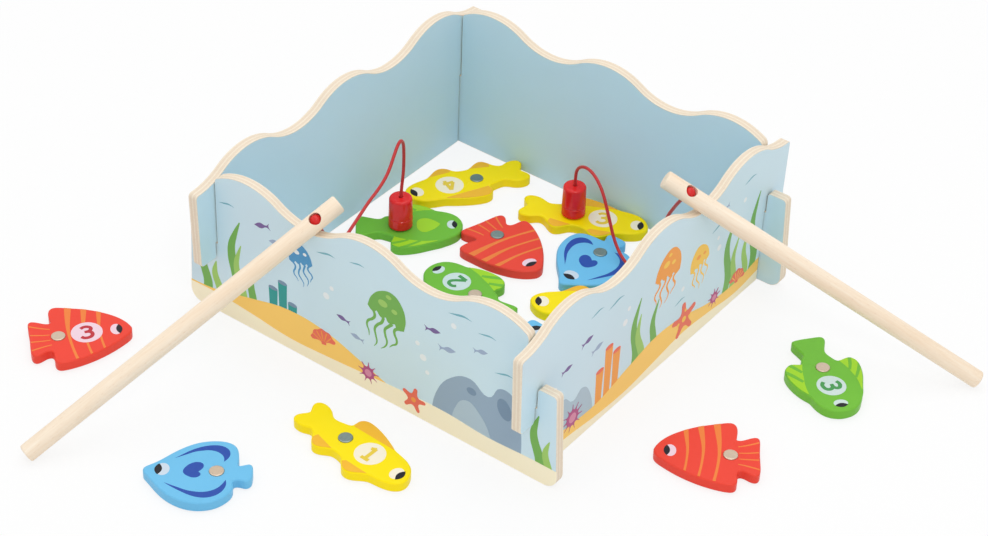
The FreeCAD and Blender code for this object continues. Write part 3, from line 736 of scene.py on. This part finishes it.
def kelp(x, y, tall, lean, wide):
    """A swaying leaf that tapers to its tip."""
    spine = []
    for step in range(len(KELP_TAPER)):
        share = step / (len(KELP_TAPER) - 1)
        sway = math.sin(share * KELP_WAVE) * KELP_SWAY * tall
        spine.append((x + lean * share * tall + sway, y + share * tall))
    return ribbon(spine, [wide * taper for taper in KELP_TAPER])


def sea_stroke(x, y, length, turn):
    """A short line of water, pointed at both ends."""
    points = [(-0.5, -0.02), (-0.2, 0.06), (0.15, 0.12), (0.5, 0.02), (0.2, 0.05), (-0.15, 0.0)]
    return turned_shape(points, x, y, length, turn), (0, 3)


def bell(x, y, wide, high, turn):
    """The bell of a jellyfish with a scalloped lower rim."""
    points = [(-0.5, 0.0), (-0.47, 0.4), (-0.28, 0.82), (0.0, 1.0), (0.28, 0.82), (0.47, 0.4), (0.5, 0.0),
              (0.34, -0.1), (0.25, 0.02), (0.1, -0.1), (0.0, 0.02), (-0.1, -0.1), (-0.25, 0.02),
              (-0.34, -0.1)]
    scaled = [(u * wide, v * high) for u, v in points]
    return turned_shape(scaled, x, y, 1.0, turn), (0, 6, 8, 10, 12)


def tentacles(x, y, wide, long, turn):
    """Swaying tentacles under a bell as wide as given."""
    made = []
    for index, root in enumerate(TENTACLE_ROOTS):
        reach = long * TENTACLE_REACH[index]
        spine = []
        for step in range(len(TENTACLE_TAPER)):
            down = step / (len(TENTACLE_TAPER) - 1)
            sway = math.sin(down * TENTACLE_WAVE + index) * TENTACLE_SWAY * wide
            spine.append((root * wide + sway, -down * reach))
        spine = turned_shape(spine, x, y, 1.0, turn)
        made.append(ribbon(spine, [wide * TENTACLE_WIDTH * taper for taper in TENTACLE_TAPER]))
    return made


def shell(x, y, radius, turn):
    """A scallop shell: a fan with a scalloped rim and a small hinge."""
    points = [(-0.16, -0.06), (-0.2, 0.1)]
    for index in range(SHELL_POINTS):
        angle = math.radians(SHELL_START - index * SHELL_STEP)
        reach = 1.0 if index % 2 == 0 else SHELL_DIP
        points.append((math.cos(angle) * reach * 0.95, math.sin(angle) * reach))
    points += [(0.2, 0.1), (0.16, -0.06)]
    return turned_shape(points, x, y, radius, turn), (0, len(points) - 1)


def shell_ribs(x, y, radius, turn):
    made = []
    for angle in RIB_ANGLES:
        lean = math.radians(angle)
        tip_x, tip_y = math.cos(lean) * 0.84, math.sin(lean) * 0.86
        line = [(tip_x * share, tip_y * share) for share in (0.22, 0.6, 1.0)]
        spine = turned_shape(line, x, y, radius, turn)
        made.append(ribbon(spine, [radius * 0.012, radius * 0.03, radius * 0.035]))
    return made


def tube_places(x, wide, heights):
    """Each tube's place in its row, with its height."""
    return [(x + (index - (len(heights) - 1) / 2) * wide * TUBE_PITCH, tall)
            for index, tall in enumerate(heights)]


def tubes(x, y, wide, heights):
    made = []
    for across, tall in tube_places(x, wide, heights):
        spine = [(across, y), (across, y + tall * 0.5), (across, y + tall)]
        made.append(ribbon(spine, [wide * 0.8, wide * 0.85, wide]))
    return made


def tube_mouths(x, y, wide, heights):
    return [ellipse(across, y + tall, wide, wide * 0.4)
            for across, tall in tube_places(x, wide, heights)]


def sea_floor(*heights):
    """Ground from below the wall's foot up to a soft line through heights, from left to right."""
    count = len(heights)
    line = [(-SEA_REACH + 2 * SEA_REACH * index / (count - 1), tall)
            for index, tall in enumerate(heights)]
    foot = [(SEA_REACH, SEA_FOOT), (-SEA_REACH, SEA_FOOT)]
    return line + foot, (0, count - 1, count, count + 1)


def bay_design():
    """The front wall's sea, seen from outside: colour, layer, shapes, and cut to the wall or not."""
    return [
        ("rock", 1, [([(46, 2), (49, 24), (59, 40), (72, 46), (84, 40), (92, 50), (101, 48),
                       (106, 30), (107, 2)], (0, 8))], False),
        ("pale_rock", 2, [([(60, 2), (62, 20), (70, 30), (79, 25), (86, 14), (88, 2)], (0, 5))], False),
        ("deep_rock", 2, [ellipse(95, 37, 4.5, 7, 20), ellipse(73, 38, 3.2, 2.4)], False),
        ("leaf", 1, [kelp(-119, 8, 37, 0.02, 3.0), kelp(-98, 8, 64, 0.08, 3.2),
                     kelp(-86, 8, 40, 0.16, 2.6), kelp(118, 3, 42, -0.05, 2.8)], True),
        ("pale_leaf", 2, [kelp(-108, 8, 28, -0.1, 2.6), kelp(-92, 8, 48, 0.0, 2.4),
                          kelp(124, 3, 28, 0.0, 2.2)], True),
        ("teal", 1, tubes(-60, 6, 3.3, (32, 39, 27)), False),
        ("deep_rock", 2, tube_mouths(-60, 6, 3.3, (32, 39, 27)), False),
        ("leaf", 1, tentacles(14, 57, 26, 24, -14), False),
        ("leaf", 2, [bell(14, 58, 26, 19, -14)], False),
        ("pale_leaf", 3, [ellipse(12, 67, 3.2, 2.3), ellipse(20, 65, 2.0, 1.5),
                          ellipse(16, 73, 1.9, 1.3)], False),
        ("sky", 1, tentacles(-46, 65, 17, 15, 12), False),
        ("sky", 2, [bell(-46, 66, 17, 13, 12)], False),
        ("foam", 3, [ellipse(-49, 72, 2.0, 1.4), ellipse(-43, 73, 1.3, 1.0)], False),
        ("violet", 1, [dart_fish(-74, 78, 12, 196), dart_fish(-16, 42, 10, 170),
                       dart_fish(46, 66, 11, 8)], False),
        ("mist", 1, [dart_fish(-64, 71, 11, 190), dart_fish(56, 58, 12, 12),
                     dart_fish(-6, 34, 10, 172), dart_fish(78, 68, 10, 15)], False),
        ("foam", 1, [ellipse(40, 44, 2.2, 2.2), ellipse(36, 52, 1.5, 1.5), ellipse(43, 35, 1.4, 1.4),
                     ellipse(-28, 52, 2.2, 2.2), ellipse(-24, 59, 1.5, 1.5), ellipse(-71, 50, 1.8, 1.8),
                     ellipse(-69, 58, 1.2, 1.2), ellipse(60, 76, 1.8, 1.8)], False),
        ("sea_line", 1, [sea_stroke(64, 84, 16, 4), sea_stroke(82, 80, 12, 2),
                         sea_stroke(-28, 80, 14, 6), sea_stroke(-6, 84, 11, 3),
                         sea_stroke(94, 60, 13, 8), sea_stroke(-100, 80, 12, 4)], False),
        ("dune", 3, [sea_floor(13, 15, 22, 28, 26, 17, 8, 3, 3, 3, 3)], True),
        ("sand", 4, [sea_floor(12, 13, 11, 8, 9, 11, 13, 14, 12, 13, 13)], True),
        ("coral", 5, [shell(-30, 17, 10.0, 12), star(34, 11, 8.5, 4.0, 5, 80)], False),
        ("orange", 6, shell_ribs(-30, 17, 10.0, 12) + [ellipse(34, 11, 1.6, 1.6)], False),
        ("magenta", 5, [star(2, 13, 7.5, 4.0, 9, 90, True)], False),
        ("rose", 6, [ellipse(2, 13, 2.4, 2.4)], False),
    ]


def reef_design():
    """The right wall's sea, seen from outside."""
    return [
        ("pale_rock", 1, [([(-106, 2), (-101, 28), (-90, 38), (-80, 31), (-72, 35), (-64, 26),
                            (-60, 2)], (0, 6))], False),
        ("orange", 1, tubes(-48, 6, 3.6, (30, 42, 35)), False),
        ("coral", 2, tube_mouths(-48, 6, 3.6, (30, 42, 35)), False),
        ("leaf", 1, [kelp(-24, 12, 52, 0.06, 3.0), kelp(-6, 12, 40, 0.1, 2.6),
                     kelp(70, 8, 57, 0.06, 3.0), kelp(98, 8, 61, 0.02, 3.2)], False),
        ("pale_leaf", 2, [kelp(-16, 12, 40, -0.08, 2.6), kelp(77, 8, 40, 0.1, 2.4),
                          kelp(91, 8, 38, 0.0, 2.4)], False),
        ("amber_print", 1, tentacles(40, 51, 19, 17, 10), False),
        ("amber_print", 2, [bell(40, 52, 19, 14, 10)], False),
        ("orange", 1, tentacles(6, 63, 25, 19, -10), False),
        ("orange", 2, [bell(6, 64, 25, 18, -10)], False),
        ("amber_print", 3, [ellipse(4, 73, 3.0, 2.0), ellipse(11, 71, 1.9, 1.4),
                            ellipse(7, 78, 1.7, 1.1)], False),
        ("orange", 3, [ellipse(38, 58, 2.1, 1.5), ellipse(44, 58, 1.4, 1.0)], False),
        ("violet", 1, [dart_fish(-70, 66, 11, 10), dart_fish(-88, 58, 10, 6)], False),
        ("mist", 1, [dart_fish(-60, 55, 11, 12), dart_fish(62, 78, 10, 190)], False),
        ("foam", 1, [ellipse(-34, 56, 2.2, 2.2), ellipse(-31, 64, 1.5, 1.5), ellipse(60, 52, 2.0, 2.0),
                     ellipse(58, 60, 1.3, 1.3), ellipse(-98, 50, 1.7, 1.7), ellipse(24, 44, 1.6, 1.6),
                     ellipse(84, 72, 1.6, 1.6)], False),
        ("sea_line", 1, [sea_stroke(-44, 76, 15, 4), sea_stroke(-62, 80, 12, 2), sea_stroke(56, 68, 12, 6),
                         sea_stroke(88, 84, 13, 3), sea_stroke(22, 36, 11, 3)], False),
        ("dune", 3, [sea_floor(15, 18, 15, 14, 20, 25, 22, 15, 13, 17, 16)], True),
        ("sand", 4, [sea_floor(6, 9, 8, 5, 4, 7, 10, 8, 5, 8, 9)], True),
        ("magenta", 5, [star(-80, 19, 9.5, 5.2, 11, 90, True),
                        star(60, 16, 6.5, 3.4, 9, 90, True)], False),
        ("rose", 6, [ellipse(-80, 19, 3.2, 3.2), ellipse(60, 16, 2.1, 2.1)], False),
        ("coral", 5, [star(28, 20, 12.5, 5.4, 5, 96), shell(84, 13, 9.0, -10)], False),
        ("amber_print", 6, [ellipse(28, 20, 2.0, 2.0), ellipse(29, 26, 1.1, 1.1),
                            ellipse(33.5, 19, 1.1, 1.1), ellipse(22.5, 19, 1.1, 1.1)]
         + shell_ribs(84, 13, 9.0, -10), False),
    ]


# The walls' slots: their clearance, how much they are eased, and how far the easing reaches
SLOT_CLEARANCE = 0.15 * MM
SLOT_EASE = 0.45 * MM
EASE_REACH = 2.0 * MM
EASE_START = -0.01 * MM


def ease_slots(wall, outward):
    """Opens the slots a little more, so that the dark joint beside each crossing wall shows."""
    along = Vector((-outward.y, outward.x, 0))
    for vertex in wall.data.vertices:
        place = (vertex.co - POND).dot(along)
        past_outer = abs(place) - (HALF_POND + SLOT_CLEARANCE)
        past_inner = (HALF_POND - WALL_THICKNESS - SLOT_CLEARANCE) - abs(place)
        for past, direction in ((past_outer, 1), (past_inner, -1)):
            if EASE_START < past < EASE_REACH:
                shift = direction * SLOT_EASE * (1 - past / EASE_REACH)
                vertex.co += along * math.copysign(1.0, place) * shift


QUARTER = math.pi / 2
WALL_EDGE = 0.35 * MM
FACING = 0.97


def dress_wall(node, design, turn, mats, mirrored=False):
    """A wall with its faces, edges and print. The turn is that of its outer side about Z."""
    outward = Vector((math.sin(turn), -math.cos(turn), 0))
    edge_wood = mats["ply_x" if abs(outward.x) > 0.5 else "ply_y"]
    wall = dressed_copy(node, f"{node}_panel", edge_wood, WALL_EDGE)
    ease_slots(wall, outward)
    wall.data.materials.append(mats["inside_blue"])
    wall.data.materials.append(mats["outside_blue"])
    for face in wall.data.polygons:
        facing = face.normal.dot(outward)
        if facing > FACING:
            face.material_index = 2
        elif facing < -FACING:
            face.material_index = 1
    place = POND + outward * HALF_POND
    stand = (QUARTER, 0, turn)
    plates = []
    for index, (paint, level, shapes, cut) in enumerate(design):
        if mirrored:
            shapes = [([(-u, v) for u, v in points], corners) for points, corners in shapes]
        plate = flat_plate(f"{node}_shape_{index}", shapes, mats[paint], level)
        set_down(plate, place, stand)
        if cut:
            clip_to(plate, wall, outward, level)
        plates.append(plate)
    join_pieces(plates, f"{node}_print")


# Rods and cords. The points of each cord, from the pond's middle, lead from the bob to the rod
CORD_DIAMETER = 2.0 * MM
FRONT_CORD = [
    (-76.0, 12.0, 44.0), (-76.1, 12.3, 57.0), (-75.7, 11.2, 65.6), (-74.1, 6.2, 71.0),
    (-71.8, -1.0, 68.0), (-68.6, -11.2, 59.6), (-64.2, -25.0, 58.0), (-59.6, -39.6, 59.4),
    (-54.8, -54.8, 58.9), (-50.0, -70.2, 58.4), (-46.2, -82.4, 57.6), (-42.6, -93.0, 64.0),
    (-40.6, -99.6, 76.0),
]
RIGHT_CORD = [
    (-2.0, 85.2, 40.0), (5.5, 82.0, 47.0), (15.5, 77.6, 48.6), (25.8, 72.8, 43.2),
    (33.6, 69.2, 30.0), (41.0, 65.9, 17.0), (50.5, 61.6, 10.8), (63.5, 56.2, 10.8),
    (75.5, 50.2, 22.0), (83.0, 46.0, 42.0), (86.3, 44.2, 60.0), (89.5, 42.4, 72.0),
    (94.6, 39.6, 81.4),
]
CORD_RISE = 9.0 * MM
ROD_DIAMETER = 10.5 * MM
ROD_LENGTH = 213.6 * MM
KNOT_RADIUS = 3.4 * MM
KNOT_FLAT = 2.6 * MM
PITCH_GUESS = 0.5
PITCH_STEPS = 20

# Each rig: the rod's heading, the roll of its cord hole, the cord's points and its length
RIGS = {
    "front": (67.95, 24.7, FRONT_CORD, 0.198),
    "right": (204.4, -22.2, RIGHT_CORD, 0.212),
}


def rod_lines(rod, heading, roll):
    """A rod's heading and pitch, from its box's height, and the way in which its cord hole opens."""
    low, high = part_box(rod)
    heading, roll = math.radians(heading), math.radians(roll)
    pitch = PITCH_GUESS
    for _ in range(PITCH_STEPS):
        tall = ROD_LENGTH * math.sin(pitch) + ROD_DIAMETER * math.cos(pitch)
        pitch += ((high.z - low.z) - tall) / ROD_LENGTH
    square = Vector((-math.sin(pitch) * math.cos(heading), -math.sin(pitch) * math.sin(heading),
                     math.cos(pitch)))
    left = Vector((-math.sin(heading), math.cos(heading), 0))
    return heading, pitch, square * math.cos(roll) - left * math.sin(roll)


def ball_centre(node, upward):
    """The middle of a knot that is cut flat on its lower side."""
    low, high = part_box(node)
    return Vector([high[axis] - KNOT_RADIUS if upward[axis] > 0 else low[axis] + KNOT_RADIUS
                   for axis in range(3)])


def make_cord(name, rig, free_points, upward, material):
    """A cord from the knot in the bob, along its free points, to the knot in the rod's hole."""
    low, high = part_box(f"{rig}_bob_knot")
    start = Vector(((low.x + high.x) / 2, (low.y + high.y) / 2, high.z))
    end = ball_centre(f"{rig}_rod_knot", upward) - upward * KNOT_FLAT
    route = [start, start + Vector((0, 0, CORD_RISE))]
    route += [in_pond(*point) for point in free_points]
    route += [end - upward * ROD_DIAMETER, end]
    curve = bpy.data.curves.new(name, "CURVE")
    curve.dimensions = "3D"
    curve.bevel_depth = CORD_DIAMETER / 2
    curve.bevel_resolution = 5
    curve.use_fill_caps = True
    curve.resolution_u = 12
    spline = curve.splines.new("NURBS")
    spline.points.add(len(route) - 1)
    for point, place in zip(spline.points, route):
        point.co = (*place, 1.0)
    spline.order_u = 3
    spline.use_endpoint_u = True
    piece = add_object(name, curve)
    curve.materials.append(material)
    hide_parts(f"{rig}_cord")
    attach(piece, "root")


# Light and floor. Each light, aimed at the middle of the set: place, size and power
LIGHTS = {
    "overhead_light": ((-0.2, 0.2, 1.7), 1.6, 10),
    "front_light": ((0.75, -0.6, 1.3), 0.3, 3),
}
WORLD_LIGHT = 0.74
TABLE_GLOW = 0.8
TABLE_SIZE = 6.0
TABLE_DROP = 0.2 * MM


def make_light(name, place, size, power):
    """A square area lamp."""
    lamp = bpy.data.lights.new(name, "AREA")
    lamp.shape = "SQUARE"
    lamp.size = size
    lamp.energy = power
    light = add_object(name, lamp)
    light.location = place
    light.rotation_mode = "QUATERNION"
    light.rotation_quaternion = (-Vector(place)).to_track_quat("-Z", "Y")


def seen_directly(tree):
    """1 for what the camera and reflections see, and 0 for what lights the set."""
    path = add_node(tree, "ShaderNodeLightPath")
    return math_node(tree, "MAXIMUM", path.outputs["Is Camera Ray"], path.outputs["Is Glossy Ray"])


def make_world():
    """A white room, at full strength only to the camera and in reflections."""
    world = bpy.data.worlds.new("studio")
    bpy.context.scene.world = world
    world.use_nodes = True
    tree = world.node_tree
    background = tree.nodes["Background"]
    strength = times_plus(tree, seen_directly(tree), 1.0 - WORLD_LIGHT, WORLD_LIGHT)
    background.inputs["Color"].default_value = (1, 1, 1, 1)
    tree.links.new(strength, background.inputs["Strength"])


def make_floor():
    """A white table. To the camera it glows a little, which keeps it white and its shadows faint."""
    bpy.ops.mesh.primitive_plane_add(size=TABLE_SIZE, location=(0, 0, -TABLE_DROP))
    floor = bpy.context.active_object
    floor.name = "floor"
    material, tree, shader, _ = start_material("table_white")
    shader.inputs["Base Color"].default_value = (0.9, 0.9, 0.9, 1)
    shader.inputs["Roughness"].default_value = 0.8
    shader.inputs["Specular IOR Level"].default_value = 0.1
    glow = add_node(tree, "ShaderNodeEmission", Color=(1, 1, 1, 1), Strength=1.0)
    share = math_node(tree, "MULTIPLY", seen_directly(tree), TABLE_GLOW)
    both = add_node(tree, "ShaderNodeMixShader", i0=share, i1=shader.outputs[0], i2=glow.outputs[0])
    tree.links.new(both.outputs[0], tree.nodes["Material Output"].inputs["Surface"])
    floor.data.materials.append(material)


# How far the edges of the small pieces are rounded
FISH_EDGE = 0.3 * MM
DISC_EDGE = 0.2 * MM
MAGNET_EDGE = 0.3 * MM


def main():
    make_camera()
    make_world()
    for name, (place, size, power) in LIGHTS.items():
        make_light(name, place, size, power)
    make_floor()
    mats = make_materials()
    lines = {}
    for rig, (heading, roll, points, length) in RIGS.items():
        lines[rig] = rod_lines(f"{rig}_rod", heading, roll)
        make_cord(f"{rig}_line", rig, points, lines[rig][2], mats["cord"])
    dress_wall("front_wall", bay_design(), 0.0, mats)
    dress_wall("right_wall", reef_design(), QUARTER, mats)
    dress_wall("back_wall", reef_design(), 2 * QUARTER, mats, mirrored=True)
    dress_wall("left_wall", bay_design(), 3 * QUARTER, mats, mirrored=True)
    for name in FISH:
        # Each disc gets the grey or the warm tone of its steel, a painted reflection
        plating_with_painted_reflection = mats["steel_painted_grey_reflection" if name in DISCS_PAINTED_GREY_REFLECTION else "steel_painted_warm_reflection"]
        dressed_copy(f"{name}_disc", f"{name}_disc_face", plating_with_painted_reflection, DISC_EDGE)
        body = dressed_copy(name, f"{name}_body", mats[name.split("_")[0]], FISH_EDGE)
        print_fish(name, body, mats)
    for rig, (heading, pitch, _) in lines.items():
        wood = sanded_beech(f"{rig}_rod_beech", heading, pitch)
        dressed_copy(f"{rig}_rod", f"{rig}_rod_dowel", wood)
        for part in ("barrel", "base"):
            dressed_copy(f"{rig}_bob_{part}", f"{rig}_bob_{part}_shell", mats["plastic"])
        dressed_copy(f"{rig}_bob_magnet", f"{rig}_bob_magnet_face", mats["magnet"], MAGNET_EDGE)
        for part in ("rod_knot", "bob_knot"):
            dressed_copy(f"{rig}_{part}", f"{rig}_{part}_ball", mats["knot"])


main()
bpy.context.scene.view_settings.view_transform = "Standard"
